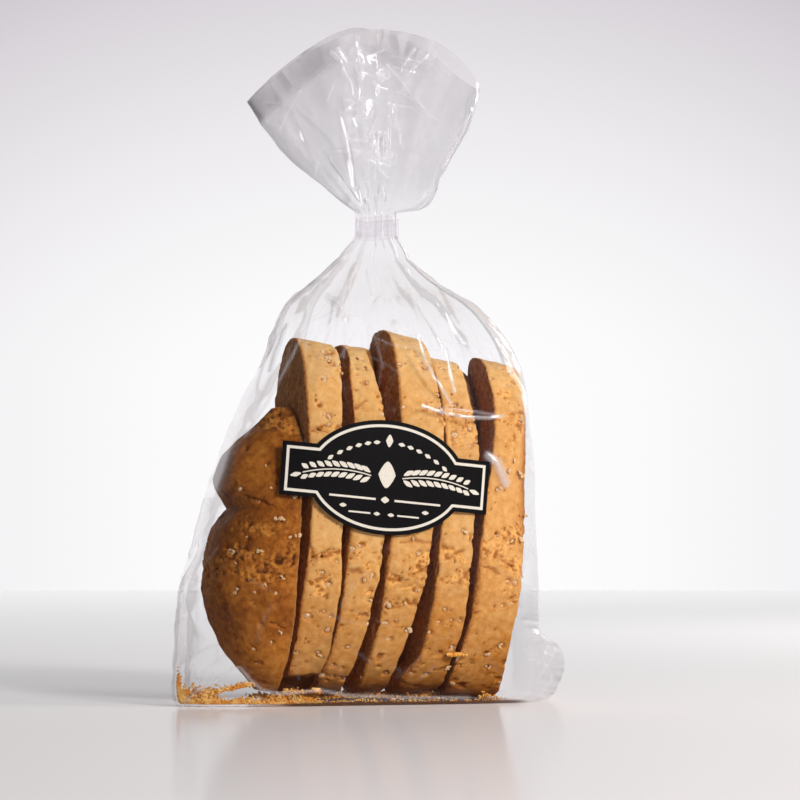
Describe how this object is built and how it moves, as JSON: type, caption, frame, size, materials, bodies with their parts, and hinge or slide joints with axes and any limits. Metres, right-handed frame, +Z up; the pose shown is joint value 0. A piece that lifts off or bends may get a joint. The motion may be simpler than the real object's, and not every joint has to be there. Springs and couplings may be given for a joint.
{
  "type": "biscotti",
  "caption": "Clear gusseted film bag of thick upright biscotti slices, drawn in to a taped neck with the free end fanned out above, and a dark shaped label on the front.",
  "frame": {"origin": "middle of the bag's flat bottom, on the surface it stands on", "axes": "+Z up along the bag to its fanned end, +X to the right along the front, -Y towards the front with the label"},
  "size_m": [0.1517, 0.0583, 0.25],
  "materials": {
    "film": "thin clear glossy polypropylene film, creased",
    "label_print": "satin black printed paper label with a cream outline and ornament",
    "tape": "clear glossy adhesive tape over gathered film",
    "biscuit": "dry baked golden-brown crust with pocks and pale flecks",
    "crumb": "dry golden crumbs"
  },
  "bodies": {
    "root": {"bag": "film", "label": "label_print", "neck_tape": "tape"}
  },
  "joints": []
}
